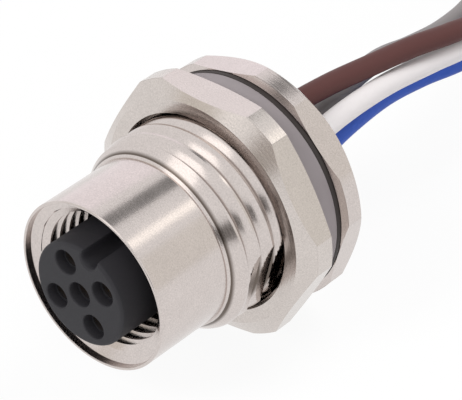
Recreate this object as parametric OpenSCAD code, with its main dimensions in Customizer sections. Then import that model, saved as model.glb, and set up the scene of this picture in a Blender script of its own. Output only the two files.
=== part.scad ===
// M12 five-pole socket for a panel, with five loose leads.
// Millimetres. Z is up, the mating face looks along -Y and the leads leave
// along +Y. The socket lies on one flat of its nut, with the floor at Z = 0.
// Turned pieces are drawn about a local Z that points out of the mating face,
// with local Z = 0 on the front of the flange. seat() lays them down.

/* [Housing] */
// Thickness of the flange behind the panel
flange_thickness = 2.2; // [1.5:0.1:5]
// Depth of the six flats below the flange's turned edge
flange_flat_depth = 0.525; // [0.2:0.025:0.8]
// Angle of one flange flat, seen from the front
flange_flat_angle = 43; // [0:1:60]
// Diameter of the outer thread
thread_diameter = 16; // [15:0.1:18]
// Advance of the nut in one turn
thread_pitch = 1.5; // [1:0.25:2]
// Front end of the outer thread, from the flange
thread_end = 10.2; // [8:0.1:14]
// Diameter of the plain sleeve in front of the thread
sleeve_diameter = 14; // [13.2:0.05:14.5]
// Front rim of the sleeve, from the flange
sleeve_end = 17.15; // [14:0.05:22]
// Diameter of the shallow counterbore in the rim
rim_bore = 13.5; // [12.6:0.05:13.6]
// Depth of that counterbore
rim_depth = 0.6; // [0.2:0.1:1.5]
// Crest diameter of the inner coupling thread
coupling_bore = 10.92; // [10.6:0.02:11.2]
// Diameter of the bore that takes the insert from the rear
rear_bore = 12; // [11.4:0.1:12.6]

/* [Nut and seals] */
// Thickness of the nut
nut_thickness = 3; // [2:0.1:5]
// Distance across the flats of the nut, which the flange's diameter follows
nut_across_flats = 20; // [19:0.1:24]
// Diameter the corners of the nut are turned to
nut_corner_diameter = 21.7; // [20.5:0.1:26]
// Diameter of the nut's flat front face
nut_face_diameter = 18.9; // [17.5:0.1:20]
// Thickness of the flat gasket under the nut
gasket_thickness = 1.5; // [0.5:0.1:3]
// Thickness of the black ring on the flange
seal_thickness = 0.7; // [0.4:0.1:2]
// Width of the gasket and the ring between bore and edge
seal_width = 1.35; // [0.8:0.05:1.8]

/* [Insert and contacts] */
// Diameter of the insert's barrel
insert_diameter = 8.6; // [8:0.05:9]
// Front face of the insert, from the flange
insert_end = 18.4; // [15:0.1:24]
// Angle of the first contact, seen from the front
contact_angle = 27.2; // [0:0.1:90]
// Diameter of the circle the four outer contacts stand on
contact_circle = 5.33; // [5:0.01:5.6]
// Bore of one contact
contact_bore = 1.06; // [1:0.01:1.2]
// Outer diameter of one contact
contact_diameter = 1.6; // [1.4:0.05:1.8]
// Mouth diameter of the lead-in in front of one contact
contact_mouth = 2.1; // [1.8:0.05:2.2]
// Width of the key groove along the barrel
key_width = 1.4; // [1:0.1:1.8]
// Distance from the axis to the bottom of the key groove
key_floor = 3.15; // [2.9:0.05:3.6]

/* [Leads] */
// Outer diameter of one insulated lead
lead_diameter = 1.8; // [1.4:0.1:1.9]
// Diameter of the tinned strands at the bare end
strand_diameter = 1; // [0.8:0.05:1.2]
// Length of the bare end
strip_length = 5; // [3:0.5:8]
// Mean radius of the coil
coil_radius = 10.5; // [9:0.5:11]

/* [Hidden] */
$fn = 96;
eps = 0.01;

// Fits
running_fit = 0.05;
press_fit = 0.02;

// Housing
axis_height = nut_across_flats / 2;
flange_diameter = nut_across_flats + 0.05;
flange_across_flats = flange_diameter - 2 * flange_flat_depth;
flange_front_y = (insert_end - flange_thickness) / 2;
flange_chamfer = 0.23;
flange_face_radius = flange_across_flats / 2;
thread_depth = 0.6134 * thread_pitch;
thread_root = thread_diameter / 2 - thread_depth;
thread_crest_width = thread_pitch / 8;
thread_root_width = thread_pitch / 4;
neck_length = 0.8;
thread_chamfer = (thread_diameter - sleeve_diameter) / 2;
thread_first = neck_length + thread_pitch / 2;
thread_grooves = floor((thread_end - thread_chamfer - thread_first) / thread_pitch);
rim_chamfer = 0.05;
rim_cone_depth = 0.6;
shoulder = 8;
rear_chamfer = 0.4;

// Nut and seals
nut_rear = seal_thickness + gasket_thickness;
nut_front = nut_rear + nut_thickness;
nut_bore_radius = thread_diameter / 2 + running_fit;
nut_bore_chamfer = 0.3;
nut_front_slope = 0.62;
nut_rear_slope = 0.36;
seal_gap = 0.1;
seal_bore_radius = thread_diameter / 2 + seal_gap;
seal_diameter = 2 * (seal_bore_radius + seal_width);
seal_edge = 0.1;

// Insert, contacts and potting
base_radius = rear_bore / 2 - running_fit;
base_rear = 4;
insert_edge = 0.12;
ring_seal_thickness = 0.8;
ring_seal_gap = 0.08;
contact_front = insert_end - 1.2;
contact_rear = 1;
contact_bore_end = contact_front - 8;
mouth_depth = 0.5;
potting_front = base_rear - 0.4;
potting_rear = -flange_thickness + 0.2;

// Leads. Each route runs from the potting to the coil, where the five leads are
// one round bundle. The coil is a turn and a half, in two layers, and each tail
// goes back from its end, beside the leads, to the bare strands.
tube_sides = 8;
steps = 2;
lead_radius = lead_diameter / 2;
potting_y = flange_front_y - potting_rear;
coil_y = 66;
coil_floor = 0.3;
coil_turns = 1.5;
coil_shoulder = 1.2;
lead_gap = 0.05;
bundle_ring = (lead_diameter + lead_gap) / 2 / sin(36);
bundle_radius = bundle_ring + lead_radius;
bundle_low = coil_floor + bundle_radius;
bundle_high = bundle_low + 2 * bundle_radius;
coil_height = 4 * bundle_radius;
tail_length = 32;
tie_thickness = 0.25;
tie_width = 2.4;
tie_slack = 0.15;
brown_angle = 126;
white_angle = 54;
blue_angle = -18;
black_angle = -90;
grey_angle = 198;
function coil_entry(a) =
    [-coil_radius + bundle_ring * cos(a), coil_y, bundle_high + bundle_ring * sin(a)];
brown_route = [[-1.3, potting_y, 12.35], [-1.45, 14, 12.8], [-1.15, 19.1, 12.75],
    [-0.5, 23.6, 12.6], [0.3, 28.1, 12.5], [1, 32.1, 12.1], [1.1, 36, 11.6], [-1, 43.4, 11],
    [-5.8, 51.2, 10.75], [-10.2, 59, 9.65], coil_entry(brown_angle)];
white_route = [[2.3, potting_y, 11.35], [1.8, 13, 11.5], [1.25, 16.5, 11.45], [0.85, 20.5, 11.25],
    [0.58, 25.1, 10.8], [0.75, 30, 10.25], [0.95, 35.5, 9.7], [-0.75, 43.5, 9.1],
    [-4.8, 51.5, 9.05], [-8.4, 59.3, 9.05], coil_entry(white_angle)];
blue_route = [[1.3, potting_y, 7.65], [0.9, 13, 8], [0.25, 17, 8.5], [-0.3, 21, 8.65],
    [-0.8, 26, 8.45], [-0.6, 30.5, 8.1], [0, 36, 7.6], [-1, 43.4, 7.15], [-4.4, 51.7, 7.1],
    [-7.85, 59.5, 7.2], coil_entry(blue_angle)];
black_route = [[-2.3, potting_y, 8.7], [-2.35, 13.5, 8.65], [-2.4, 18, 8.35], [-2.5, 23, 7.95],
    [-2.65, 28, 7.45], [-2.7, 32, 7.05], [-2.5, 37, 6.5], [-3.3, 43, 6.05], [-6.2, 50.8, 5.9],
    [-9.4, 59, 6.1], coil_entry(black_angle)];
grey_route = [[0, potting_y, 10], [-0.3, 13, 10], [-1.2, 17, 10.15], [-2.4, 22, 10.1],
    [-3.3, 28.1, 9.75], [-3.1, 32.1, 9.2], [-3.3, 37, 8.5], [-4.7, 43, 7.8], [-8, 50.2, 7.35],
    [-11, 58.5, 7.3], coil_entry(grey_angle)];

// ---- helpers ----

module seat() {
    translate([0, flange_front_y, axis_height]) rotate([90, 0, 0]) children();
}

// Plain disc or rod between two stations on the local axis.
module rod(from, to, r) {
    translate([0, 0, from]) cylinder(h = to - from, r = r);
}

// Six-sided prism with one flat facing the given angle.
module hexagon(from, to, across, flat_angle) {
    translate([0, 0, from]) rotate([0, 0, flat_angle - 30])
        cylinder(h = to - from, r = across / 2 / cos(30), $fn = 6);
}

// Outline of one groove of the outer thread, whose turns are drawn as rings.
function groove(from) =
    let (flank = (thread_pitch - thread_crest_width - thread_root_width) / 2)
    [[thread_diameter / 2, from],
    [thread_root, from + flank],
    [thread_root, from + flank + thread_root_width],
    [thread_diameter / 2, from + thread_pitch - thread_crest_width]];

module contact_place(k) {
    if (k == 5) {
        children();
    } else {
        rotate([0, 0, contact_angle + 90 * (k - 1)])
            translate([contact_circle / 2, 0, 0]) children();
    }
}

function unit(v) = v / norm(v);

// Catmull-Rom curve through hand-chosen points.
function blend(a, b, c, d, t) =
    0.5 * (2 * b + (c - a) * t + (2 * a - 5 * b + 4 * c - d) * t * t
    + (3 * b - a - 3 * c + d) * t * t * t);
function curve(p) = [
    for (i = [0 : len(p) - 2], s = [0 : steps - 1])
        blend(p[max(i - 1, 0)], p[i], p[i + 1], p[min(i + 2, len(p) - 1)], s / steps),
    p[len(p) - 1]];
function heading(p, i) = i == 0 || i == len(p) - 1 ? [0, 1, 0] : unit(p[i + 1] - p[i - 1]);
function hoop(c, d) =
    let (a = unit(cross(d, [0, 0, 1])), b = cross(a, d))
    [for (k = [0 : tube_sides - 1])
        c + lead_radius * (cos(360 * k / tube_sides) * a + sin(360 * k / tube_sides) * b)];

// Lead swept along a route, closed at both ends.
module swept(route) {
    p = curve(route);
    n = len(p);
    points = [for (i = [0 : n - 1]) each hoop(p[i], heading(p, i))];
    first = [for (k = [0 : tube_sides - 1]) tube_sides - 1 - k];
    last = [for (k = [0 : tube_sides - 1]) (n - 1) * tube_sides + k];
    sides = [for (i = [0 : n - 2], k = [0 : tube_sides - 1])
        let (m = (k + 1) % tube_sides, a = i * tube_sides, b = a + tube_sides)
        each [[a + k, a + m, b + m], [a + k, b + m, b + k]]];
    polyhedron(points, concat([first, last], sides));
}

// Straight rod that goes back along -Y from the end of the coil.
module tail_rod(angle, from, to, r) {
    translate([coil_radius - bundle_ring * cos(angle), coil_y - from, bundle_low + bundle_ring * sin(angle)])
        rotate([90, 0, 0]) cylinder(h = to - from, r = r);
}

module lead(route, angle) {
    swept(route);
    tail_rod(angle, 0, tail_length, lead_radius);
}

module bare_end(angle) {
    tail_rod(angle, tail_length, tail_length + strip_length, strand_diameter / 2);
}

// ---- sub-parts ----

module housing() {
    color("#c9c2bc") seat() difference() {
        intersection() {
            rotate_extrude() polygon([
                [rear_bore / 2, -flange_thickness + rear_chamfer],
                [rear_bore / 2 + rear_chamfer, -flange_thickness],
                [flange_face_radius, -flange_thickness],
                [flange_diameter / 2, -flange_thickness + flange_diameter / 2 - flange_face_radius],
                [flange_diameter / 2, -flange_chamfer],
                [flange_face_radius, 0],
                [thread_root, 0],
                [thread_root, neck_length],
                [thread_diameter / 2, neck_length],
                for (n = [0 : thread_grooves - 1]) each groove(thread_first + n * thread_pitch),
                [thread_diameter / 2, thread_end - thread_chamfer],
                [sleeve_diameter / 2, thread_end],
                [sleeve_diameter / 2, sleeve_end - rim_chamfer],
                [sleeve_diameter / 2 - rim_chamfer, sleeve_end],
                [rim_bore / 2, sleeve_end],
                [rim_bore / 2, sleeve_end - rim_depth],
                [coupling_bore / 2, sleeve_end - rim_depth - rim_cone_depth],
                [coupling_bore / 2, shoulder],
                [rear_bore / 2, shoulder]]);
            hexagon(-flange_thickness - eps, sleeve_end + eps, flange_across_flats, flange_flat_angle);
        }
    }
}

module hex_nut() {
    corner = nut_corner_diameter / 2;
    face = nut_face_diameter / 2;
    mouth = nut_bore_radius + nut_bore_chamfer;
    color("#c6bfb8") seat() intersection() {
        rotate_extrude() polygon([
            [nut_bore_radius, nut_rear + nut_bore_chamfer],
            [mouth, nut_rear],
            [face, nut_rear],
            [corner, nut_rear + (corner - face) * nut_rear_slope],
            [corner, nut_front - (corner - face) * nut_front_slope],
            [face, nut_front],
            [mouth, nut_front],
            [nut_bore_radius, nut_front - nut_bore_chamfer]]);
        hexagon(nut_rear - eps, nut_front + eps, nut_across_flats, 30);
    }
}

module flat_gasket() {
    color("#8c8682") seat() difference() {
        rod(seal_thickness, nut_rear, seal_diameter / 2);
        rod(seal_thickness - eps, nut_rear + eps, seal_bore_radius);
    }
}

module seal_ring() {
    outer = seal_diameter / 2;
    color("#2e2824") seat() rotate_extrude() polygon([
        [seal_bore_radius, 0],
        [outer - seal_edge, 0],
        [outer, seal_edge],
        [outer, seal_thickness],
        [seal_bore_radius, seal_thickness]]);
}

module insert() {
    barrel = insert_diameter / 2;
    key_radius = key_width / 2;
    color("#333336") seat() difference() {
        rotate_extrude() polygon([
            [0, base_rear],
            [base_radius, base_rear],
            [base_radius, shoulder],
            [barrel, shoulder],
            [barrel, insert_end - insert_edge],
            [barrel - insert_edge, insert_end],
            [0, insert_end]]);
        rotate([0, 0, contact_angle + 45]) translate([0, 0, shoulder + ring_seal_thickness])
            linear_extrude(insert_end) polygon([
                for (a = [90 : 15 : 270])
                    [key_floor + key_radius * (1 + cos(a)), key_radius * sin(a)],
                [barrel + 1, -key_radius],
                [barrel + 1, key_radius]]);
        for (k = [1 : 5]) contact_place(k) {
            rod(base_rear - eps, insert_end + eps, contact_diameter / 2 + press_fit);
            translate([0, 0, insert_end - mouth_depth])
                cylinder(h = mouth_depth + eps, r1 = contact_diameter / 2, r2 = contact_mouth / 2);
        }
    }
}

module insert_seal() {
    color("#4a3a34") seat() difference() {
        rod(shoulder, shoulder + ring_seal_thickness, coupling_bore / 2 - ring_seal_gap);
        rod(shoulder - eps, shoulder + ring_seal_thickness + eps, insert_diameter / 2 + ring_seal_gap);
    }
}

module contact(k) {
    color("#d0a850") seat() contact_place(k) difference() {
        rod(contact_rear, contact_front, contact_diameter / 2);
        rod(contact_bore_end, contact_front + eps, contact_bore / 2);
    }
}

module potting() {
    color("#262626") seat() difference() {
        rod(potting_rear, potting_front, rear_bore / 2);
        for (k = [1 : 5]) contact_place(k)
            rod(contact_rear - eps, potting_front + eps, contact_diameter / 2);
    }
}

module lead_coil() {
    inner = coil_radius - bundle_radius;
    outer = coil_radius + bundle_radius;
    top = coil_floor + coil_height;
    color("#5c5a58") translate([0, coil_y, 0]) rotate_extrude() polygon([
        [inner + coil_shoulder, coil_floor],
        [outer - coil_shoulder, coil_floor],
        [outer, coil_floor + coil_shoulder],
        [outer, top - coil_shoulder],
        [outer - coil_shoulder, top],
        [inner + coil_shoulder, top],
        [inner, top - coil_shoulder],
        [inner, coil_floor + coil_shoulder]]);
}

module coil_tie() {
    reach = bundle_radius + tie_slack;
    color("#1e1e1e") translate([-tie_width / 2, coil_y + coil_radius - reach, coil_floor])
        difference() {
            translate([0, -tie_thickness, -tie_thickness])
                cube([tie_width, 2 * (reach + tie_thickness), coil_height + 2 * tie_thickness]);
            translate([-eps, 0, 0])
                cube([tie_width + 2 * eps, 2 * reach, coil_height]);
        }
}

// ---- nodes ----

housing();
hex_nut();
flat_gasket();
seal_ring();
insert();
insert_seal();
contact(1);  // contact_1
contact(2);  // contact_2
contact(3);  // contact_3
contact(4);  // contact_4
contact(5);  // contact_5
potting();
color("#5a3c38") lead(brown_route, brown_angle);  // lead_brown
color("#e4e0e0") lead(white_route, white_angle);  // lead_white
color("#3e5ab4") lead(blue_route, blue_angle);  // lead_blue
color("#1e1c1b") lead(black_route, black_angle);  // lead_black
color("#8c8786") lead(grey_route, grey_angle);  // lead_grey
color("#b8b8b4") bare_end(brown_angle);  // end_brown
color("#b8b8b4") bare_end(white_angle);  // end_white
color("#b8b8b4") bare_end(blue_angle);  // end_blue
color("#b8b8b4") bare_end(black_angle);  // end_black
color("#b8b8b4") bare_end(grey_angle);  // end_grey
lead_coil();
coil_tie();
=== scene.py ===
"""M12 panel socket with five loose leads, built over its CAD frame."""

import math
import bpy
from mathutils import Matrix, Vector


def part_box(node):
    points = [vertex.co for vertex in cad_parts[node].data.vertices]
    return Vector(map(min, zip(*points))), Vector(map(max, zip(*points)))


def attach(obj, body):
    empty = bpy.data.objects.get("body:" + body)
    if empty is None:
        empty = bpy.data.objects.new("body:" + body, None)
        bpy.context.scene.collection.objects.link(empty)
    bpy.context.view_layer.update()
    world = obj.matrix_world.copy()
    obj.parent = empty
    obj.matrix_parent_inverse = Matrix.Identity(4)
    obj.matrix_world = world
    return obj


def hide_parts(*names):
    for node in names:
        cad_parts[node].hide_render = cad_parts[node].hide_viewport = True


bl_info = {
    "name": "M12 panel socket",
    "version": (1, 0, 0),
    "blender": (4, 5, 0),
    "location": "View3D > Sidebar > Socket",
    "description": "Builds a five-pole M12 panel socket with its nut, seals and loose leads",
    "category": "Add Mesh",
}

import bmesh
import bpy
from bpy.props import FloatProperty, PointerProperty, StringProperty
from mathutils import Matrix, Vector

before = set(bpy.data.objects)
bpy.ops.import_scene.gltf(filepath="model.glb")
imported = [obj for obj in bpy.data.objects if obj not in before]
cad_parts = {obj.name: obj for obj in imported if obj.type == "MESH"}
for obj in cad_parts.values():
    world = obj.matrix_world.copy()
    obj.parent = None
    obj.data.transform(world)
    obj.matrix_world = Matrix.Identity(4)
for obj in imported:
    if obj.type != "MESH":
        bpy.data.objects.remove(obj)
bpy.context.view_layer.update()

MM = 0.001
TAU = 2 * math.pi


def span(node):
    """Lowest and highest corner of a CAD node, in millimetres."""
    low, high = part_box(node)
    return [v / MM for v in low], [v / MM for v in high]


# Places in the frame, in millimetres. The axis runs along Y, and the mating face is the lowest in Y.
NUT_LOW, NUT_HIGH = span("hex_nut")
AXIS_HEIGHT = (NUT_LOW[2] + NUT_HIGH[2]) / 2
FLANGE_FRONT = span("seal_ring")[1][1]
FLANGE_REAR = span("housing")[1][1]

LEAD_DIAMETER = 1.8


# ---- sizes and colours a user would change ----


class SocketSizes(bpy.types.PropertyGroup):
    """Sizes of the metal pieces, in metres"""

    flange_diameter: FloatProperty(
        name="Flange diameter", description="Diameter the flange is turned to",
        default=20.05 * MM, unit="LENGTH")
    flange_flats: FloatProperty(
        name="Flange across flats", description="Distance across the six flats of the flange",
        default=19 * MM, unit="LENGTH")
    flange_thickness: FloatProperty(
        name="Flange thickness", description="Thickness of the flange behind the panel",
        default=FLANGE_REAR * MM - FLANGE_FRONT * MM, unit="LENGTH")
    thread_diameter: FloatProperty(
        name="Thread diameter", description="Crest diameter of the outer thread",
        default=16 * MM, unit="LENGTH")
    thread_pitch: FloatProperty(
        name="Thread pitch", description="Advance of the outer thread in one turn",
        default=1.5 * MM, unit="LENGTH")
    sleeve_diameter: FloatProperty(
        name="Sleeve diameter", description="Diameter of the plain sleeve",
        default=14 * MM, unit="LENGTH")
    coupling_pitch: FloatProperty(
        name="Coupling pitch", description="Advance of the inner thread in one turn",
        default=1 * MM, unit="LENGTH")
    nut_flats: FloatProperty(
        name="Nut across flats", description="Distance across the flats of the nut",
        default=(NUT_HIGH[2] - NUT_LOW[2]) * MM, unit="LENGTH")
    nut_corners: FloatProperty(
        name="Nut corner diameter", description="Diameter the corners of the nut are turned to",
        default=(NUT_HIGH[0] - NUT_LOW[0]) * MM, unit="LENGTH")


class LeadSizes(bpy.types.PropertyGroup):
    """Sizes of the leads, in metres"""

    diameter: FloatProperty(
        name="Lead diameter", description="Outer diameter of one insulated lead",
        default=LEAD_DIAMETER * MM, unit="LENGTH")
    strand: FloatProperty(
        name="Strand diameter", description="Diameter of one tinned strand",
        default=0.33 * MM, unit="LENGTH")
    bare: FloatProperty(
        name="Bare length", description="Length of the bare end",
        default=5 * MM, unit="LENGTH")
    length: FloatProperty(
        name="Lead length", description="Length of each lead with its bare end",
        default=200 * MM, unit="LENGTH")


def shade(name, description, default):
    """Property for a colour as sRGB hex."""
    return StringProperty(name=name, description=description, default=default)


class Finishes(bpy.types.PropertyGroup):
    """Colours as sRGB hex"""

    nickel: shade("Nickel", "Nickel plating on the housing", "cec5c1")
    nickel_nut: shade("Nut nickel", "Nickel plating on the nut", "cec6c1")
    # Painted shade: a darker colour for the roots of the outer thread, standing in for the shade between its
    # teeth
    root_shade: shade("Painted thread shade", "Painted shade in the roots of the outer thread", "6a6059")
    gasket: shade("Gasket", "Grey rubber of the flat gasket", "8f8789")
    seal: shade("Seal", "Black rubber of the ring on the flange", "2a2321")
    insert: shade("Insert", "Black plastic of the insert", "242327")
    contact: shade("Contact", "Gold plating of the contacts", "c9a45c")
    potting: shade("Potting", "Black casting resin", "18181a")
    brown: shade("Brown lead", "PVC of the brown lead", "5b3b39")
    white: shade("White lead", "PVC of the white lead", "e9e4e4")
    blue: shade("Blue lead", "PVC of the blue lead", "3d5db8")
    black: shade("Black lead", "PVC of the black lead", "100f0f")
    grey: shade("Grey lead", "PVC of the grey lead", "8e8989")
    tin: shade("Tin", "Tinned copper strands", "b9b9b5")
    tie: shade("Tie", "Black nylon of the tie", "1b1b1c")
    floor: shade("Floor", "Matt white floor", "f4f4f4")


# ---- materials ----


def linear(code, strength=1.0):
    """sRGB hex as linear RGBA."""
    channels = [int(code[i:i + 2], 16) / 255 for i in (0, 2, 4)]
    return [strength * (c / 12.92 if c <= 0.04045 else ((c + 0.055) / 1.055) ** 2.4)
            for c in channels] + [1.0]


def node(tree, kind, settings=None, **links):
    """Adds a node, sets its settings, and links or sets its inputs. An input goes by its name, with
    _ for a space, or by i and its number."""
    made = tree.nodes.new(kind)
    for key, value in (settings or {}).items():
        setattr(made, key, value)
    for key, value in links.items():
        socket = made.inputs[int(key[1:])] if key[1:].isdigit() else made.inputs[key.replace("_", " ")]
        if isinstance(value, bpy.types.NodeSocket):
            tree.links.new(value, socket)
        else:
            socket.default_value = value
    return made


def shader(name, **values):
    """New material with its Principled shader's own sockets set."""
    material = bpy.data.materials.new(name)
    material.use_nodes = True
    principled = material.node_tree.nodes["Principled BSDF"]
    for key, value in values.items():
        principled.inputs[key.replace("_", " ")].default_value = value
    return material, material.node_tree, principled


def painted_thread_shade(tree, plating, colour, along, radius, root):
    """Plating darkened in the roots of the outer thread and a little way up the flanks: painted shade where
    the teeth shade each other.
    The sleeve is told by its place along the axis and the bore by its radius."""
    shade_top, clear_from, bore, sleeve_rear = root + 0.12, root + 0.3, 7.1, 10.0
    clear = node(tree, "ShaderNodeMapRange", i0=radius, i1=shade_top * MM, i2=clear_from * MM,
                 i3=0.0, i4=1.0).outputs[0]
    sleeve = node(tree, "ShaderNodeMath", {"operation": "LESS_THAN"}, i0=along,
                  i1=(FLANGE_FRONT - sleeve_rear) * MM).outputs[0]
    inside = node(tree, "ShaderNodeMath", {"operation": "LESS_THAN"}, i0=radius, i1=bore * MM).outputs[0]
    clear = node(tree, "ShaderNodeMath", {"operation": "MAXIMUM"}, i0=clear, i1=sleeve).outputs[0]
    clear = node(tree, "ShaderNodeMath", {"operation": "MAXIMUM"}, i0=clear, i1=inside).outputs[0]
    return node(tree, "ShaderNodeMix", {"data_type": "RGBA"}, i0=clear, i6=linear(colour),
                i7=plating).outputs[2]


def turned_nickel(name, colour, roughness, corner_radius, root_shade=None):
    """Nickel-plated turned brass: warm silver, with fine rings left by the tool and a satin grain
    from tumbling, so that reflections break up into small streaks and specks. The corners beyond
    corner_radius were turned with a coarse feed, so their rings stand out more. The painted root
    shade, when given, is its colour and the radius of the thread roots that it darkens."""
    material, tree, principled = shader(
        name, Metallic=1.0, Roughness=roughness, Base_Color=linear(colour))
    here = node(tree, "ShaderNodeNewGeometry").outputs["Position"]
    place = node(tree, "ShaderNodeVectorMath", {"operation": "SUBTRACT"}, i0=here,
                 i1=(0, 0, AXIS_HEIGHT * MM)).outputs[0]
    x, along, z = node(tree, "ShaderNodeSeparateXYZ", i0=place).outputs
    flat = node(tree, "ShaderNodeCombineXYZ", i0=x, i2=z).outputs[0]
    radius = node(tree, "ShaderNodeVectorMath", {"operation": "LENGTH"}, i0=flat).outputs["Value"]
    # Feed marks 0.12 mm apart, drawn coarser than the real 0.05 mm so that they show.
    run = node(tree, "ShaderNodeCombineXYZ", i0=along, i1=radius).outputs[0]
    rings = node(tree, "ShaderNodeTexNoise", Vector=run, Scale=1 / (0.12 * MM), Detail=2.0).outputs[0]
    # Tumbling leaves a grain of 0.11 mm, drawn coarser than the real 0.03 mm, and faint clouds.
    specks = node(tree, "ShaderNodeTexNoise", Vector=place, Scale=1 / (0.11 * MM), Detail=3.0).outputs[0]
    blotch = node(tree, "ShaderNodeTexNoise", Vector=place, Scale=1 / (1.6 * MM), Detail=4.0).outputs[0]
    tone = node(tree, "ShaderNodeMath", {"operation": "MULTIPLY_ADD"}, i0=specks, i1=0.8, i2=0.0).outputs[0]
    tone = node(tree, "ShaderNodeMath", {"operation": "MULTIPLY_ADD"}, i0=blotch, i1=0.2, i2=tone).outputs[0]
    spread = node(tree, "ShaderNodeMapRange", i0=tone, i1=0.35, i2=0.65, i3=0.0, i4=1.0).outputs[0]
    plating = node(tree, "ShaderNodeMix", {"data_type": "RGBA"}, i0=spread, i6=linear(colour, 0.92),
                   i7=linear(colour, 1.1)).outputs[2]
    # Painted shade darkens the thread roots, when it is given.
    if root_shade:
        plating = painted_thread_shade(tree, plating, root_shade[0], along, radius, root_shade[1])
    tree.links.new(plating, principled.inputs["Base Color"])
    rough = node(tree, "ShaderNodeMath", {"operation": "MULTIPLY_ADD"}, i0=rings, i1=0.10,
                 i2=roughness - 0.075).outputs[0]
    rough = node(tree, "ShaderNodeMath", {"operation": "MULTIPLY_ADD"}, i0=blotch, i1=0.05,
                 i2=rough).outputs[0]
    tree.links.new(rough, principled.inputs["Roughness"])
    corner = node(tree, "ShaderNodeMath", {"operation": "GREATER_THAN"}, i0=radius,
                  i1=corner_radius * MM).outputs[0]
    deep = node(tree, "ShaderNodeMath", {"operation": "MULTIPLY_ADD"}, i0=corner, i1=3.0, i2=0.35).outputs[0]
    height = node(tree, "ShaderNodeMath", {"operation": "MULTIPLY"}, i0=rings, i1=deep).outputs[0]
    turned = node(tree, "ShaderNodeBump", Strength=1.0, Distance=0.01 * MM, Height=height).outputs[0]
    satin = node(tree, "ShaderNodeBump", Strength=0.3, Distance=0.008 * MM, Height=specks,
                 Normal=turned).outputs[0]
    tree.links.new(satin, principled.inputs["Normal"])
    return material


def rubber(name, colour, roughness=0.75):
    """Moulded rubber: matt, with a fine dusty grain and faint clouds."""
    material, tree, principled = shader(name, Roughness=roughness, Base_Color=linear(colour), IOR=1.5)
    here = node(tree, "ShaderNodeNewGeometry").outputs["Position"]
    grain = node(tree, "ShaderNodeTexNoise", Vector=here, Scale=1 / (0.25 * MM), Detail=4.0).outputs[0]
    cloud = node(tree, "ShaderNodeTexNoise", Vector=here, Scale=1 / (3 * MM), Detail=2.0).outputs[0]
    mixed = node(tree, "ShaderNodeMix", {"data_type": "RGBA"}, i0=cloud, i6=linear(colour, 0.85),
                 i7=linear(colour, 1.12)).outputs[2]
    tree.links.new(mixed, principled.inputs["Base Color"])
    bump = node(tree, "ShaderNodeBump", Strength=0.25, Distance=0.02 * MM, Height=grain).outputs[0]
    tree.links.new(bump, principled.inputs["Normal"])
    return material


def moulded_plastic(name, colour, roughness):
    """Nylon as moulded or resin as cast: a low gloss that fine grain of the mould mottles."""
    material, tree, principled = shader(name, Roughness=roughness, Base_Color=linear(colour), IOR=1.53,
                                        Specular_IOR_Level=0.35)
    here = node(tree, "ShaderNodeNewGeometry").outputs["Position"]
    grain = node(tree, "ShaderNodeTexNoise", Vector=here, Scale=1 / (0.12 * MM), Detail=3.0).outputs[0]
    rough = node(tree, "ShaderNodeMath", {"operation": "MULTIPLY_ADD"}, i0=grain, i1=0.16,
                 i2=roughness - 0.08).outputs[0]
    tree.links.new(rough, principled.inputs["Roughness"])
    bump = node(tree, "ShaderNodeBump", Strength=0.2, Distance=0.01 * MM, Height=grain).outputs[0]
    tree.links.new(bump, principled.inputs["Normal"])
    return material


def extruded_pvc(name, colour, roughness=0.5):
    """Soft PVC as extruded: low sheen, faint waviness along the lead."""
    material, tree, principled = shader(name, Roughness=roughness, Base_Color=linear(colour), IOR=1.54,
                                        Specular_IOR_Level=0.12)
    here = node(tree, "ShaderNodeNewGeometry").outputs["Position"]
    wave = node(tree, "ShaderNodeTexNoise", Vector=here, Scale=1 / (0.9 * MM), Detail=3.0).outputs[0]
    rough = node(tree, "ShaderNodeMath", {"operation": "MULTIPLY_ADD"}, i0=wave, i1=0.18,
                 i2=roughness - 0.09).outputs[0]
    tree.links.new(rough, principled.inputs["Roughness"])
    bump = node(tree, "ShaderNodeBump", Strength=0.12, Distance=0.03 * MM, Height=wave).outputs[0]
    tree.links.new(bump, principled.inputs["Normal"])
    return material


def plated(name, colour, roughness):
    """Thin plating on drawn or machined copper alloy: smooth and bright."""
    material, tree, principled = shader(name, Metallic=1.0, Roughness=roughness, Base_Color=linear(colour))
    here = node(tree, "ShaderNodeNewGeometry").outputs["Position"]
    haze = node(tree, "ShaderNodeTexNoise", Vector=here, Scale=1 / (0.3 * MM), Detail=2.0).outputs[0]
    rough = node(tree, "ShaderNodeMath", {"operation": "MULTIPLY_ADD"}, i0=haze, i1=0.12,
                 i2=roughness - 0.06).outputs[0]
    tree.links.new(rough, principled.inputs["Roughness"])
    return material


# ---- meshes ----

# Vertices closer than the weld are one, and edges shorter than the sliver go
WELD, SLIVER = 0.0005 * MM, 0.0002 * MM


def on_axis(r, s, angle):
    """Point at radius r and s in front of the flange, in millimetres, as metres in the frame."""
    return Vector((r * math.cos(angle), FLANGE_FRONT - s, AXIS_HEIGHT + r * math.sin(angle))) * MM


def finish_mesh(name, bm, material, body, replaced, sharp):
    """Cleans a mesh, shades it smooth but for edges sharper than so many degrees, and rides it on
    its body in place of CAD nodes."""
    bmesh.ops.remove_doubles(bm, verts=bm.verts, dist=WELD)
    bmesh.ops.dissolve_degenerate(bm, dist=SLIVER, edges=bm.edges)
    bmesh.ops.recalc_face_normals(bm, faces=bm.faces)
    mesh = bpy.data.meshes.new(name)
    bm.to_mesh(mesh)
    bm.free()
    for polygon in mesh.polygons:
        polygon.use_smooth = True
    mesh.set_sharp_from_angle(angle=math.radians(sharp))
    mesh.materials.append(material)
    piece = bpy.data.objects.new(name, mesh)
    bpy.context.scene.collection.objects.link(piece)
    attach(piece, body)
    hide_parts(*replaced)
    return piece


def dress(name, material):
    """Gives a CAD node a material."""
    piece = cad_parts[name]
    piece.data.materials.clear()
    piece.data.materials.append(material)


def plain(r, s):
    """Row of a turned surface."""
    return lambda angle: (r, s)


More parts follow.
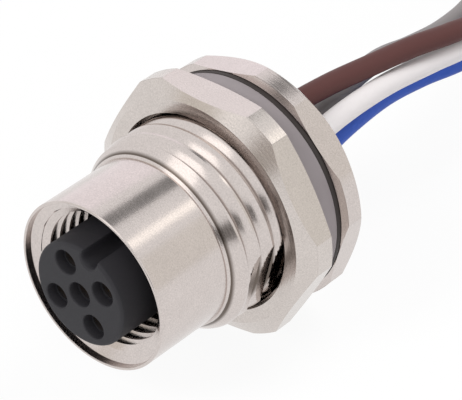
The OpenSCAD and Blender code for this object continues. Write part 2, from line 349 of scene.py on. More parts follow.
def rounded_edge(r, s, edge, count):
    """Rows round an outer edge that faces the front."""
    turns = [math.pi / 2 * k / count for k in range(count + 1)]
    return [plain(r - edge * (1 - math.cos(a)), s - edge * (1 - math.sin(a))) for a in turns]


def full_turn(count, *extra):
    """Evenly spaced angles from 0 to a full turn with further ones, in degrees, put in."""
    even = [TAU * k / count for k in range(count + 1)]
    return sorted(even + [math.radians(a) % TAU for a in extra])


def lathe(rows, angles):
    """Closed surface through rows, each a function of the angle that gives radius and station.
    The first and the last angle are both kept, so that a thread can close."""
    bm = bmesh.new()
    grid = [[bm.verts.new(on_axis(*row(a), a)) for a in angles] for row in rows]
    for upper, lower in zip(grid, grid[1:] + grid[:1]):
        for j in range(len(angles) - 1):
            bm.faces.new((upper[j], upper[j + 1], lower[j + 1], lower[j]))
    return bm


def bridge(bm, rings):
    """Joins each ring of vertices to the next."""
    for lower, upper in zip(rings, rings[1:]):
        for k in range(len(lower)):
            m = (k + 1) % len(lower)
            bm.faces.new((lower[k], lower[m], upper[m], upper[k]))


def stacked(bm, loops):
    """Closed solid through loops of metre points."""
    rings = [[bm.verts.new(p) for p in loop] for loop in loops]
    bridge(bm, rings)
    bm.faces.new(rings[0][::-1])
    bm.faces.new(rings[-1])


def swept_tube(bm, path, radius, sides):
    """Closed tube along a path of metre points, with its side carried from ring to ring."""
    tangents = []
    for i in range(len(path)):
        before, after = path[max(i - 1, 0)], path[min(i + 1, len(path) - 1)]
        tangents.append((after - before).normalized())
    side = tangents[0].cross(Vector((0, 0, 1))).normalized()
    turns = [TAU * k / sides for k in range(sides)]
    loops = []
    for point, tangent in zip(path, tangents):
        side = (side - tangent * side.dot(tangent)).normalized()
        up = side.cross(tangent)
        loops.append([point + radius * (math.cos(a) * side + math.sin(a) * up) for a in turns])
    stacked(bm, loops)


# ---- hexagons and threads ----

# Where things face, in degrees from +X towards +Z: a flat of the flange and of the nut, and the
# start of the outer and of the inner thread
FLANGE_FLAT, NUT_FLAT = 43, 30
THREAD_START, COUPLING_START = 70, 172


def flat_reach(angle, across, first):
    """Distance from the axis to the side of a hexagon in that direction, where one side faces first."""
    off = (math.degrees(angle) - first + 30) % 60 - 30
    return across / 2 / math.cos(math.radians(off))


def corner_angles(across, diameter, first):
    """Angles where the flats of a hexagon meet the turned corners."""
    half = math.degrees(math.acos(across / diameter))
    return [first + 60 * k + sign * half for k in range(6) for sign in (-1, 1)]


def hex_chamfer(across, first, r_face, r_turned, s_face, slope):
    """Row where the hexagon or the turned corner cuts a chamfer that leaves the face at r_face."""
    def row(angle):
        r = min(r_turned, flat_reach(angle, across, first))
        return r, s_face + slope * (r - r_face)
    return row


def even_profile(root_share, crest_share):
    """Thread profile with two like flanks: places along the pitch, and how far the tooth has risen."""
    flank = (1 - root_share - crest_share) / 2
    rise = [(root_share / 2 + flank * k / 4, k / 4) for k in range(5)]
    return [(0, 0)] + rise + [(1 - u, h) for u, h in reversed(rise)]


def worn_profile():
    """Thread profile with a steep rear flank and a crest that rounds off towards the front."""
    crest_end, root_start, root_end, worn_corner = 0.13, 0.82, 0.88, (0.985, 0.94)
    fall, points = 1.35, 8
    front = [(crest_end + (root_start - crest_end) * k / points, 1 - (k / points) ** fall)
             for k in range(points + 1)]
    return [(0, 1)] + front + [(root_end, 0), worn_corner]


def thread_rows(ends, pitch, root, crest, profile, zero_angle, zero_s, bound):
    """Rows that follow a right-hand thread from the first end to the other. The profile starts at
    zero_s where the angle is zero_angle, and bound keeps the thread inside a chamfer."""
    low_s, high_s = sorted(ends)
    places = profile + [(1 + profile[0][0], profile[0][1])]

    def radius(s, angle):
        u = ((s - zero_s) / pitch - (angle - math.radians(zero_angle)) / TAU) % 1
        for (u0, h0), (u1, h1) in zip(places, places[1:]):
            if u0 <= u <= u1 and u1 > u0:
                return bound(s, angle, root + (crest - root) * (h0 + (h1 - h0) * (u - u0) / (u1 - u0)))
        return bound(s, angle, root + (crest - root) * profile[0][1])

    def follow(base):
        def row(angle):
            s = base + pitch * (angle - math.radians(zero_angle)) / TAU
            s = min(max(s, low_s), high_s)
            return radius(s, angle), s
        return row

    first = math.floor((low_s - zero_s) / pitch) - 2
    last = math.ceil((high_s - zero_s) / pitch) + 2
    bases = [zero_s + pitch * (turn + place) for turn in range(first, last) for place, rise in profile]
    # A row advances by one pitch in its turn, and only rows that pass between the ends are kept.
    before, after, spare = pitch * zero_angle / 360, pitch * (1 - zero_angle / 360), 0.2
    bases = [b for b in bases if b + after > low_s - spare and b - before < high_s + spare]
    rows = [follow(b) for b in bases]
    return rows if ends[0] < ends[1] else rows[::-1]


# ---- housing ----

# Stations in front of the flange and radii, in millimetres
UNDERCUT_FRONT, STEP_FRONT, SLEEVE_FRONT = 0.8, 10.18, 17.15
SHOULDER, BORE_RADIUS, MOUTH_RADIUS = 8.0, 6.0, 6.75
COUPLING_CREST = 5.46
THREAD_DEPTH = 0.8
# The flat milled along the outer thread: where it faces in degrees, its distance from the axis, and
# how it runs out beyond a station
FLAT_ANGLE, FLAT_REACH = -16, 7.34
FLAT_RUN_OUT, FLAT_RISE = 8.0, 1.2


def housing_outside(sizes):
    """Rows of the flange, the outer thread, its step down to the sleeve, and the sleeve."""
    flats = sizes.flange_flats / MM
    turned = sizes.flange_diameter / MM / 2
    face = flats / 2
    inset = face - 0.02
    rear = -sizes.flange_thickness / MM
    crest = sizes.thread_diameter / MM / 2
    root = crest - THREAD_DEPTH
    sleeve = sizes.sleeve_diameter / MM / 2
    step_rear, foot, step_slope = STEP_FRONT - 0.05, sleeve + 0.14, 0.85
    rear_slope, front_drop, rim = 1.0, 0.23, 0.13

    def bound(s, angle, r):
        off = math.cos(angle - math.radians(FLAT_ANGLE))
        if off > 0.5:
            r = min(r, FLAT_REACH / off + max(0, s - FLAT_RUN_OUT) * FLAT_RISE)
        return min(r, foot + (step_rear - s) * step_slope, root + max(s - UNDERCUT_FRONT, 0))

    rows = [plain(BORE_RADIUS, rear + 0.4), plain(BORE_RADIUS + 0.4, rear), plain(inset, rear),
            hex_chamfer(flats, FLANGE_FLAT, face, turned, rear, rear_slope),
            hex_chamfer(flats, FLANGE_FLAT, face, turned, 0, -front_drop / (turned - face)),
            plain(inset, 0), plain(root, 0), plain(root, UNDERCUT_FRONT)]
    rows += thread_rows((UNDERCUT_FRONT, step_rear - 0.001), sizes.thread_pitch / MM, root, crest,
                        worn_profile(), THREAD_START, 9.12, bound)
    return rows + [plain(foot, step_rear), plain(foot - 0.06, STEP_FRONT), plain(sleeve, STEP_FRONT),
                   *rounded_edge(sleeve, SLEEVE_FRONT, rim, 8)]


def housing_inside(sizes):
    """Rows of the rim's inner edge, the cone behind it, the inner thread and the insert's seat."""
    lip_rear, cone_front, cone_rear = SLEEVE_FRONT - 0.05, SLEEVE_FRONT - 0.6, SLEEVE_FRONT - 1.2
    thread_rear = SHOULDER + 0.8

    def bound(s, angle, r):
        slope = (MOUTH_RADIUS - COUPLING_CREST) / (cone_front - cone_rear)
        return max(r, MOUTH_RADIUS - (cone_front - s) * slope)

    rows = [plain(MOUTH_RADIUS + 0.06, SLEEVE_FRONT), plain(MOUTH_RADIUS + 0.02, SLEEVE_FRONT - 0.015),
            plain(MOUTH_RADIUS, lip_rear), plain(MOUTH_RADIUS, cone_front)]
    rows += thread_rows((cone_front - 0.001, thread_rear), sizes.coupling_pitch / MM, BORE_RADIUS,
                        COUPLING_CREST, even_profile(0.125, 0.25), COUPLING_START, 16.2, bound)
    return rows + [plain(BORE_RADIUS, thread_rear), plain(BORE_RADIUS, SHOULDER),
                   plain(BORE_RADIUS, SHOULDER - 0.01)]


class BuildHousing(bpy.types.Operator):
    """Build the turned housing with its outer and inner thread"""

    bl_idname = "socket.build_housing"
    bl_label = "Housing"

    def execute(self, context):
        sizes = context.scene.socket_sizes
        finishes = context.scene.socket_finishes
        corners = corner_angles(sizes.flange_flats / MM, sizes.flange_diameter / MM, FLANGE_FLAT)
        flat_edges = [FLAT_ANGLE + side * (14 + 1.2 * k) for side in (-1, 1) for k in range(12)]
        bm = lathe(housing_outside(sizes) + housing_inside(sizes), full_turn(240, *corners, *flat_edges))
        root = sizes.thread_diameter / MM / 2 - THREAD_DEPTH
        # The housing's nickel carries painted shade in the roots of its outer thread.
        nickel = turned_nickel("nickel plated turned brass", finishes.nickel, 0.19,
                               sizes.flange_diameter / MM / 2 - 0.03, (finishes.root_shade, root))
        finish_mesh("housing_turned", bm, nickel, "socket", ["housing"], 18)
        return {"FINISHED"}


# ---- nut ----


class BuildNut(bpy.types.Operator):
    """Build the hexagon nut with its turned corners and thread"""

    bl_idname = "socket.build_nut"
    bl_label = "Nut"

    def execute(self, context):
        sizes = context.scene.socket_sizes
        finishes = context.scene.socket_finishes
        flats, turned = sizes.nut_flats / MM, sizes.nut_corners / MM / 2
        face, mouth, rear_slope, front_slope = 9.45, 8.35, 0.36, -0.62
        rear, front = FLANGE_FRONT - NUT_HIGH[1], FLANGE_FRONT - NUT_LOW[1]
        # The teeth clear the housing's thread all round, so that they pass its worn flanks.
        bore = sizes.thread_diameter / MM / 2
        clearance, depth = 0.04, 0.34

        def bound(s, angle, r):
            return max(r, mouth - (s - rear), mouth - (front - s))

        rows = [plain(mouth, rear), plain(face, rear),
                hex_chamfer(flats, NUT_FLAT, face, turned, rear, rear_slope),
                hex_chamfer(flats, NUT_FLAT, face, turned, front, front_slope),
                plain(face, front), plain(mouth, front)]
        rows += thread_rows((front - 0.001, rear + 0.001), sizes.thread_pitch / MM, bore + depth,
                            bore + clearance, even_profile(0.125, 0.25), THREAD_START, 9.35, bound)
        bm = lathe(rows, full_turn(240, *corner_angles(flats, 2 * turned, NUT_FLAT)))
        nickel = turned_nickel("nickel plated nut", finishes.nickel_nut, 0.21, turned - 0.03)
        finish_mesh("nut_milled", bm, nickel, "nut", ["hex_nut"], 18)
        return {"FINISHED"}


# ---- seals ----

# Stations in front of the flange and radii, in millimetres
RING_FRONT, GASKET_FRONT = 0.45, 2.2
SEAL_BORE, SEAL_RADIUS = 8.1, 9.45


def washer(rear, front):
    """Flat ring with softened outer edges."""
    soft = 0.08
    slight = 0.3 * soft
    profile = [(SEAL_BORE, rear), (SEAL_RADIUS - soft, rear), (SEAL_RADIUS - slight, rear + slight),
               (SEAL_RADIUS, rear + soft), (SEAL_RADIUS, front - soft),
               (SEAL_RADIUS - slight, front - slight),
               (SEAL_RADIUS - soft, front), (SEAL_BORE, front)]
    return lathe([plain(r, s) for r, s in profile], full_turn(160))


class BuildSeals(bpy.types.Operator):
    """Build the flat gasket and the ring on the flange"""

    bl_idname = "socket.build_seals"
    bl_label = "Seals"

    def execute(self, context):
        finishes = context.scene.socket_finishes
        grey = rubber("moulded grey rubber", finishes.gasket)
        finish_mesh("gasket_ring", washer(RING_FRONT, GASKET_FRONT), grey, "gasket",
                    ["flat_gasket"], 60)
        black = rubber("moulded black rubber", finishes.seal, 0.6)
        finish_mesh("flange_ring", washer(0, RING_FRONT), black, "socket", ["seal_ring"], 60)
        dress("insert_seal", rubber("socket ring rubber", finishes.seal))
        return {"FINISHED"}


# ---- insert, contacts and potting ----

# Stations in front of the flange and radii, in millimetres, and directions in degrees
INSERT_REAR, INSERT_FRONT = 4.0, 18.4
BASE_RADIUS, BARREL_RADIUS, BARREL_EDGE = 5.97, 4.3, 0.28
CONTACTS, CONTACT_CIRCLE, FIRST_CONTACT = 5, 5.33, 27.2
KEY_ANGLE, KEY_FLOOR, KEY_WIDTH = 72.2, 3.15, 1.4
POTTING_FRONT, POTTING_RADIUS = 3.6, 5.98


def contact_hole(bm, x, z):
    """Cutter for the hole of one contact: the contact's seat, a chamber and a rounded mouth."""
    seat, chamber, mouth, rear, sides = 0.81, 1.0, 1.1, 3, 40
    profile = [(seat, rear), (seat, INSERT_FRONT - 0.85), (chamber - 0.02, INSERT_FRONT - 0.84),
               (chamber, INSERT_FRONT - 0.12), (chamber + 0.03, INSERT_FRONT - 0.05),
               (mouth, INSERT_FRONT + 0.002), (mouth + 0.1, INSERT_FRONT + 0.2)]
    turns = [TAU * k / sides for k in range(sides)]
    stacked(bm, [[Vector((x + r * math.cos(a), FLANGE_FRONT - s, AXIS_HEIGHT + z + r * math.sin(a))) * MM
                  for a in turns] for r, s in profile])


def key_groove(bm):
    """Cutter for the key groove, with a round floor, softened edges along the barrel and a mouth
    that opens towards the front."""
    angle, half = math.radians(KEY_ANGLE), KEY_WIDTH / 2
    along = Vector((math.cos(angle), 0, math.sin(angle)))
    across = Vector((-math.sin(angle), 0, math.cos(angle)))
    centre = Vector((0, 0, AXIS_HEIGHT))

    def section(s, grow):
        wide = half + grow
        sides = [(KEY_FLOOR + half - wide * math.cos(a), wide * math.sin(a))
                 for a in (math.radians(d) for d in range(0, 91, 15))]
        sides += [(BARREL_RADIUS - 0.2, wide), (BARREL_RADIUS - 0.09, wide + 0.04),
                  (BARREL_RADIUS - 0.03, wide + 0.12), (BARREL_RADIUS + 0.01, wide + 0.25),
                  (BARREL_RADIUS + 1, wide + 0.25)]
        loop = sides[::-1] + [(r, -w) for r, w in sides[1:]]
        return [(centre + along * r + across * w + Vector((0, FLANGE_FRONT - s, 0))) * MM for r, w in loop]

    rear = SHOULDER + 0.8
    mouth = ((0.4, 0), (0.22, 0.03), (0.08, 0.1), (-0.002, 0.24), (-0.3, 0.3))
    stacked(bm, [section(rear, 0)] + [section(INSERT_FRONT - depth, grow) for depth, grow in mouth])


def carve(body, cutter):
    """Takes the cutter's solids out of the body."""
    things = []
    for name, bm in (("blank", body), ("cutter", cutter)):
        bmesh.ops.remove_doubles(bm, verts=bm.verts, dist=WELD)
        bmesh.ops.recalc_face_normals(bm, faces=bm.faces)
        mesh = bpy.data.meshes.new(name)
        bm.to_mesh(mesh)
        bm.free()
        things.append(bpy.data.objects.new(name, mesh))
        bpy.context.scene.collection.objects.link(things[-1])
    blank, tool = things
    cut = blank.modifiers.new("cut", "BOOLEAN")
    cut.object = tool
    cut.operation = "DIFFERENCE"
    cut.solver = "EXACT"
    carved = bmesh.new()
    carved.from_object(blank, bpy.context.evaluated_depsgraph_get())
    for thing in things:
        mesh = thing.data
        bpy.data.objects.remove(thing)
        bpy.data.meshes.remove(mesh)
    return carved


def insert_body():
    """The insert's base and barrel with its contact holes and key groove cut out."""
    rows = [plain(0, INSERT_REAR), plain(BASE_RADIUS, INSERT_REAR), plain(BASE_RADIUS, SHOULDER),
            plain(BARREL_RADIUS, SHOULDER), *rounded_edge(BARREL_RADIUS, INSERT_FRONT, BARREL_EDGE, 6),
            plain(0, INSERT_FRONT)]
    cutter = bmesh.new()
    for k in range(CONTACTS):
        # Four contacts stand on a circle, and the last one in its middle.
        angle = math.radians(FIRST_CONTACT + 90 * k)
        off = CONTACT_CIRCLE / 2 if k < CONTACTS - 1 else 0
        contact_hole(cutter, off * math.cos(angle), off * math.sin(angle))
    key_groove(cutter)
    return carve(lathe(rows, full_turn(128)), cutter)


def potting_body():
    """The potting, whose face has sunk in the middle and creeps up at the housing."""
    rear = FLANGE_FRONT - FLANGE_REAR
    profile = [(0, rear + 0.2), (4.6, rear + 0.2), (5.3, rear + 0.17), (5.7, rear + 0.11),
               (POTTING_RADIUS, rear + 0.02), (POTTING_RADIUS, POTTING_FRONT), (0, POTTING_FRONT)]
    return lathe([plain(r, s) for r, s in profile], full_turn(96))


class BuildInsert(bpy.types.Operator):
    """Build the insert and the potting, and finish the contacts"""

    bl_idname = "socket.build_insert"
    bl_label = "Insert"

    def execute(self, context):
        finishes = context.scene.socket_finishes
        nylon = moulded_plastic("glass-filled nylon", finishes.insert, 0.62)
        finish_mesh("insert_moulded", insert_body(), nylon, "socket", ["insert"], 28)
        gold = plated("gold plated contact", finishes.contact, 0.25)
        for k in range(CONTACTS):
            dress(f"contact_{k + 1}", gold)
        epoxy = moulded_plastic("cast epoxy", finishes.potting, 0.25)
        finish_mesh("potting_cast", potting_body(), epoxy, "socket", ["potting"], 32)
        return {"FINISHED"}


# ---- leads ----

# Routes of the leads from the potting to the coil, in millimetres, as in the part's source
POTTING_Y = 10.1
ROUTES = {
    "brown": [(-1.3, POTTING_Y, 12.35), (-1.45, 14, 12.8), (-1.15, 19.1, 12.75), (-0.5, 23.6, 12.6),
              (0.3, 28.1, 12.5), (1, 32.1, 12.1), (1.1, 36, 11.6), (-1, 43.4, 11), (-5.8, 51.2, 10.75),
              (-10.2, 59, 9.65)],
    "white": [(2.3, POTTING_Y, 11.35), (1.8, 13, 11.5), (1.25, 16.5, 11.45), (0.85, 20.5, 11.25),
              (0.58, 25.1, 10.8), (0.75, 30, 10.25), (0.95, 35.5, 9.7), (-0.75, 43.5, 9.1),
              (-4.8, 51.5, 9.05), (-8.4, 59.3, 9.05)],
    "blue": [(1.3, POTTING_Y, 7.65), (0.9, 13, 8), (0.25, 17, 8.5), (-0.3, 21, 8.65), (-0.8, 26, 8.45),
             (-0.6, 30.5, 8.1), (0, 36, 7.6), (-1, 43.4, 7.15), (-4.4, 51.7, 7.1), (-7.85, 59.5, 7.2)],
    "black": [(-2.3, POTTING_Y, 8.7), (-2.35, 13.5, 8.65), (-2.4, 18, 8.35), (-2.5, 23, 7.95),
              (-2.65, 28, 7.45), (-2.7, 32, 7.05), (-2.5, 37, 6.5), (-3.3, 43, 6.05), (-6.2, 50.8, 5.9),
              (-9.4, 59, 6.1)],
    "grey": [(0, POTTING_Y, 10), (-0.3, 13, 10), (-1.2, 17, 10.15), (-2.4, 22, 10.1), (-3.3, 28.1, 9.75),
             (-3.1, 32.1, 9.2), (-3.3, 37, 8.5), (-4.7, 43, 7.8), (-8, 50.2, 7.35), (-11, 58.5, 7.3)],
}
# The coil: its middle, its radius, its turns and the gap under it. Then the leads run back straight.
COIL_Y, COIL_RADIUS, COIL_TURNS, COIL_FLOOR, TAIL_LENGTH = 66, 10.5, 1.5, 0.3, 32
# In the coil the five leads lie in a ring round the bundle's middle, and twist about it.
BUNDLE_SPACING, BUNDLE_TWISTS = 1.85, 3
BUNDLE_ANGLES = {"brown": 126, "white": 54, "blue": -18, "black": -90, "grey": 198}
BUNDLE_RING = BUNDLE_SPACING / 2 / math.sin(math.pi / len(BUNDLE_ANGLES))
BUNDLE_RADIUS = BUNDLE_RING + LEAD_DIAMETER / 2
# The bundle slopes down from the upper layer to the lower one here, in degrees round the coil.
SLOPE_START, SLOPE_LENGTH = 202, 130
BACKWARD, UPWARD = Vector((0, -1, 0)), Vector((0, 0, 1))


def blend(a, b, c, d, t):
    """Point on a Catmull-Rom curve between b and c."""
    return 0.5 * (2 * b + (c - a) * t + (2 * a - 5 * b + 4 * c - d) * t * t
                  + (3 * b - a - 3 * c + d) * t * t * t)


def layer_height(degrees):
    """Height of the bundle's middle: one turn on top, a slope down, then one on the floor."""
    t = min(max((degrees - SLOPE_START) / SLOPE_LENGTH, 0), 1)
    return COIL_FLOOR + BUNDLE_RADIUS + 2 * BUNDLE_RADIUS * (1 - t * t * (3 - 2 * t))


def coil_point(colour, turn):
    """Middle of a lead in the coil after so many turns, in millimetres."""
    place = math.radians(BUNDLE_ANGLES[colour]) + TAU * BUNDLE_TWISTS * turn / COIL_TURNS
    radius = COIL_RADIUS - BUNDLE_RING * math.cos(place)
    height = layer_height(360 * turn) + BUNDLE_RING * math.sin(place)
    return Vector((-radius * math.cos(TAU * turn), COIL_Y + radius * math.sin(TAU * turn), height))


def lead_path(colour):
    """Centre line of a lead's insulation in metres. It ends along BACKWARD."""
    knots = [Vector(p) for p in ROUTES[colour]] + [coil_point(colour, 0)]
    knot_steps, coil_steps, tail_steps = 8, 150, 10
    path = []
    for i in range(len(knots) - 1):
        a, b = knots[max(i - 1, 0)], knots[i]
        c, d = knots[i + 1], knots[min(i + 2, len(knots) - 1)]
        path += [blend(a, b, c, d, k / knot_steps) for k in range(knot_steps)]
    path += [coil_point(colour, COIL_TURNS * k / coil_steps) for k in range(coil_steps + 1)]
    leaves = path[-1]
    path += [leaves + BACKWARD * TAIL_LENGTH * k / tail_steps for k in range(1, tail_steps + 1)]
    return [p * MM for p in path]


def bare_strands(start, thickness, length):
    """Seven strands, six of them twisted half a turn round one, that stick out of the insulation.
    All is in millimetres."""
    side = BACKWARD.cross(UPWARD)
    outer, steps, sunk = 6, 12, 0.02
    bm = bmesh.new()
    for k in range(outer + 1):
        ring = thickness if k < outer else 0
        line = []
        for i in range(steps + 1):
            turn = TAU * (k / outer + 0.5 * i / steps)
            off = side * ring * math.cos(turn) + UPWARD * ring * math.sin(turn)
            line.append((start + BACKWARD * (length * i / steps - sunk) + off) * MM)
        swept_tube(bm, line, thickness / 2 * MM, 8)
    return bm


class BuildLeads(bpy.types.Operator):
    """Build the five leads with their coil and bare ends"""

    bl_idname = "socket.build_leads"
    bl_label = "Leads"

    def execute(self, context):
        sizes = context.scene.lead_sizes
        finishes = context.scene.socket_finishes
        tin = plated("tinned copper strands", finishes.tin, 0.35)
        for colour in ROUTES:
            path = lead_path(colour)
            bm = bmesh.new()
            swept_tube(bm, path, sizes.diameter / 2, 24)
            # The coil is one solid in the frame, and the last lead stands for it.
            replaced = [f"lead_{colour}"] + (["lead_coil"] if colour == "grey" else [])
            lead = finish_mesh(f"insulation_{colour}", bm,
                               extruded_pvc(f"extruded PVC {colour}", getattr(finishes, colour)),
                               "socket", replaced, 50)
            bm = bare_strands(path[-1] / MM, sizes.strand / MM, sizes.bare / MM)
            tip = finish_mesh(f"strands_{colour}", bm, tin, "socket", [f"end_{colour}"], 50)
            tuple(path[0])
        return {"FINISHED"}


# ---- tie ----

# The strap's thickness, and the sizes of its head and of the cut end that sticks out, in millimetres
STRAP = 0.25
HEAD_SIZE, CUT_END_SIZE = (3.4, 3.0, 1.7), (2.0, 2.6, 0.25)


def strap_line(low, high):
    """Places along the strap's inner side, as y, z and the way out there: two half circles with
    straight sides between them."""
    middle = (low[1] + high[1]) / 2
    bend = (high[1] - low[1]) / 2 - STRAP
    bottom, top = low[2] + STRAP + bend, high[2] - STRAP - bend
    turns = [(math.pi * k / 28, top) for k in range(29)]
    turns += [(math.pi + math.pi * k / 28, bottom) for k in range(29)]
    outline = [(middle + bend * math.cos(a), height + bend * math.sin(a), math.cos(a), math.sin(a))
               for a, height in turns]
    tooth = 0.3
    places = []
    for here, after in zip(outline, outline[1:] + outline[:1]):
        steps = max(1, round(math.hypot(after[0] - here[0], after[1] - here[1]) / tooth))
        places += [tuple(p + (q - p) * k / steps for p, q in zip(here, after)) for k in range(steps)]
    return places


def strap_section(wide, ribbed):
    """Section of the strap as places across it and heights over its inner side."""
    half, soft = wide / 2, 0.06
    top = STRAP if ribbed else STRAP - 0.05
    return [(-half + soft, 0), (half - soft, 0), (half, soft), (half, STRAP - 0.1),
            (half - 0.25, STRAP - 0.04), (half - 0.35, top), (-half + 0.35, top),
            (-half + 0.25, STRAP - 0.04), (-half, STRAP - 0.1), (-half, soft)]


class BuildTie(bpy.types.Operator):
    """Build the tie round the coil"""

    bl_idname = "socket.build_tie"
    bl_label = "Tie"

    def execute(self, context):
        finishes = context.scene.socket_finishes
        low, high = span("coil_tie")
        bm = bmesh.new()
        rings = [[bm.verts.new(Vector((x, y + out_y * d, z + out_z * d)) * MM)
                  for x, d in strap_section(high[0] - low[0], i % 2)]
                 for i, (y, z, out_y, out_z) in enumerate(strap_line(low, high))]
        bridge(bm, rings + rings[:1])
        middle, top = (low[1] + high[1]) / 2, high[2]
        for size, centre in ((HEAD_SIZE, (0, middle, top + 0.75)),
                             (CUT_END_SIZE, (0, middle - 2.4, top + 0.7))):
            made = bmesh.ops.create_cube(bm, size=1.0, matrix=Matrix.Translation(Vector(centre) * MM)
                                         @ Matrix.Diagonal((*(v * MM for v in size), 1)))
            edges = {e for v in made["verts"] for e in v.link_edges}
            bmesh.ops.bevel(bm, geom=list(edges), offset=min(size) * 0.28 * MM, segments=4, profile=0.5,
                            affect="EDGES")
        finish_mesh("tie_band", bm, moulded_plastic("moulded nylon tie", finishes.tie, 0.42), "socket",
                    ["coil_tie"], 40)
        return {"FINISHED"}


# ---- stage ----

# Lamps: name, direction from the socket, size in metres and power in watts
LAMP_DISTANCE = 0.55
LAMPS = (("key", (-0.19, -0.71, 0.68), 0.25, 1.5),
         ("fill", (0.75, -0.45, 0.45), 0.3, 0.6),
         ("back", (0.1, 0.5, 0.85), 0.3, 1.0))

# Cards that the metal mirrors: name, direction from the socket, degrees across and along the
# socket's axis, strength and colour. White is 1, and a dark card is a gap between the softboxes.
CARD_DISTANCE = 0.6
CARDS = (("gap_above", (-0.13, 0.6, 0.79), 16, 34, 0.28, "ffffff"),
         ("strip_above", (0.39, 0.6, 0.70), 9, 34, 1.7, "fffdf8"),
         ("softbox_left", (-0.75, 0.6, 0.26), 60, 40, 1.15, "fffbff"),
         ("wall_right", (0.76, 0.6, 0.25), 40, 40, 0.9, "fffdf8"),
         ("gap_front", (0.64, -0.76, 0.08), 20, 30, 0.1, "fff2e8"),
         ("key_front", (-0.1, -0.73, 0.67), 30, 36, 1.75, "fffdfb"),
         ("wall_front", (-0.62, -0.77, 0.2), 46, 22, 0.82, "fffaf2"),
         ("table_edge", (0.06, -0.98, 0.17), 16, 14, 0.35, "fff0e0"))

# The floor reaches this far from the socket, in metres, and this share of its white is its own. The
# rest is lit, so that it keeps the shadow.
FLOOR_REACH, FLOOR_GLOW = 3.0, 0.92
SOFT_LIGHT = 0.5

# The camera's place in metres, the way it looks, the way up in its picture, and its lens
CAMERA_PLACE = (0.11569, -0.11973, 0.13170)
CAMERA_LOOK, CAMERA_UP = (-0.54992, 0.59915, -0.58189), (-0.36957, 0.45022, 0.81284)
CAMERA_LENS = 214.66


def seen_directly(tree):
    """1 for a ray from the camera or from a mirroring or clear surface, otherwise 0."""
    rays = node(tree, "ShaderNodeLightPath").outputs
    seen = node(tree, "ShaderNodeMath", {"operation": "MAXIMUM"}, i0=rays["Is Camera Ray"],
                i1=rays["Is Transmission Ray"]).outputs[0]
    return node(tree, "ShaderNodeMath", {"operation": "MAXIMUM"}, i0=seen,
                i1=rays["Is Glossy Ray"]).outputs[0]


def studio_card(aim, name, toward, across, along, strength, colour):
    """A card that only mirroring surfaces see."""
    toward = Vector(toward).normalized()
    up = (Vector((0, 1, 0)) - toward * toward.y).normalized()
    side = toward.cross(up)
    centre = aim + toward * CARD_DISTANCE
    wide = CARD_DISTANCE * math.tan(math.radians(across / 2))
    high = CARD_DISTANCE * math.tan(math.radians(along / 2))
    mesh = bpy.data.meshes.new(name)
    corners = [centre + side * wide * i + up * high * j for i, j in ((-1, -1), (1, -1), (1, 1), (-1, 1))]
    mesh.from_pydata(corners, [], [(0, 1, 2, 3)])
    material = bpy.data.materials.new(name)
    material.use_nodes = True
    tree = material.node_tree
    glow = node(tree, "ShaderNodeEmission", Color=linear(colour), Strength=strength)
    tree.links.new(glow.outputs[0], tree.nodes["Material Output"].inputs[0])
    mesh.materials.append(material)
    card = bpy.data.objects.new(name, mesh)
    bpy.context.scene.collection.objects.link(card)
    card.visible_camera = card.visible_diffuse = card.visible_transmission = card.visible_shadow = False


def studio_lamp(aim, name, toward, size, power):
    """A round lamp that lights matt surfaces and isn't mirrored."""
    light = bpy.data.lights.new(name, "AREA")
    light.shape = "DISK"
    light.size = size
    light.energy = power
    lamp = bpy.data.objects.new(name, light)
    bpy.context.scene.collection.objects.link(lamp)
    lamp.location = aim + Vector(toward).normalized() * LAMP_DISTANCE
    lamp.rotation_euler = (-Vector(toward)).to_track_quat("-Z", "Y").to_euler()
    lamp.visible_glossy = False


def white_floor(scene, colour):
    """Matt floor that looks white and keeps the part's shadow."""
    corners = [(x * FLOOR_REACH, y * FLOOR_REACH, 0) for x, y in ((-1, -1), (1, -1), (1, 1), (-1, 1))]
    mesh = bpy.data.meshes.new("floor")
    mesh.from_pydata(corners, [], [(0, 1, 2, 3)])
    floor = bpy.data.objects.new("floor", mesh)
    scene.collection.objects.link(floor)
    material, tree, principled = shader("matt white floor", Base_Color=linear(colour), Roughness=0.9)
    glow = node(tree, "ShaderNodeEmission", Color=(1, 1, 1, 1), Strength=1.0).outputs[0]
    own = node(tree, "ShaderNodeMath", {"operation": "MULTIPLY"}, i0=seen_directly(tree),
               i1=FLOOR_GLOW).outputs[0]
    mixed = node(tree, "ShaderNodeMixShader", i0=own, i1=principled.outputs[0], i2=glow)
    tree.links.new(mixed.outputs[0], tree.nodes["Material Output"].inputs[0])
    mesh.materials.append(material)


def white_world(scene):
    """White surroundings that light the part softly."""
    world = bpy.data.worlds.new("studio")
    world.use_nodes = True
    scene.world = world
    tree = world.node_tree
    soft = tree.nodes["Background"]
    soft.inputs["Color"].default_value = (1, 1, 1, 1)
    soft.inputs["Strength"].default_value = SOFT_LIGHT
    white = node(tree, "ShaderNodeBackground", Color=(1, 1, 1, 1), Strength=1.0)
    mixed = node(tree, "ShaderNodeMixShader", i0=seen_directly(tree), i1=soft.outputs[0], i2=white.outputs[0])
    tree.links.new(mixed.outputs[0], tree.nodes["World Output"].inputs[0])


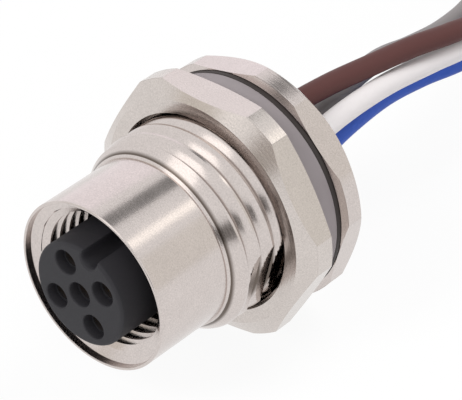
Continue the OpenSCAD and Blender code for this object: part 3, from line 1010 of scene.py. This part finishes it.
def aimed_camera(scene):
    """The scene's camera."""
    lens = bpy.data.cameras.new("camera")
    lens.lens = CAMERA_LENS
    lens.sensor_width = 36
    lens.clip_start = 0.01
    camera = bpy.data.objects.new("camera", lens)
    scene.collection.objects.link(camera)
    look = Vector(CAMERA_LOOK).normalized()
    right = look.cross(Vector(CAMERA_UP)).normalized()
    up = right.cross(look)
    turn = Matrix((right, up, -look)).transposed().to_4x4()
    camera.matrix_world = Matrix.Translation(CAMERA_PLACE) @ turn
    scene.camera = camera


class BuildStage(bpy.types.Operator):
    """Build the floor, the lamps, the world and the camera"""

    bl_idname = "socket.build_stage"
    bl_label = "Stage"

    def execute(self, context):
        scene = context.scene
        white_floor(scene, scene.socket_finishes.floor)
        white_world(scene)
        aim = Vector((0, 0, AXIS_HEIGHT * MM))
        for lamp in LAMPS:
            studio_lamp(aim, *lamp)
        for card in CARDS:
            studio_card(aim, *card)
        aimed_camera(scene)
        scene.view_settings.view_transform = "Standard"
        return {"FINISHED"}


# ---- add-on ----

PIECES = (BuildHousing, BuildNut, BuildSeals, BuildInsert, BuildLeads, BuildTie, BuildStage)
GROUPS = {"socket_sizes": SocketSizes, "lead_sizes": LeadSizes, "socket_finishes": Finishes}


class SocketPanel(bpy.types.Panel):
    """Lists the steps that build the socket"""

    bl_idname = "VIEW3D_PT_socket"
    bl_label = "M12 socket"
    bl_space_type = "VIEW_3D"
    bl_region_type = "UI"
    bl_category = "Socket"

    def draw(self, context):
        for piece in PIECES:
            self.layout.operator(piece.bl_idname)


CLASSES = (*GROUPS.values(), *PIECES, SocketPanel)


def register():
    for kind in CLASSES:
        bpy.utils.register_class(kind)
    for name, kind in GROUPS.items():
        setattr(bpy.types.Scene, name, PointerProperty(type=kind))


def unregister():
    for name in GROUPS:
        delattr(bpy.types.Scene, name)
    for kind in reversed(CLASSES):
        bpy.utils.unregister_class(kind)


def main():
    register()
    for piece in PIECES:
        group, name = piece.bl_idname.split(".")
        getattr(getattr(bpy.ops, group), name)()


if __name__ == "__main__":
    main()
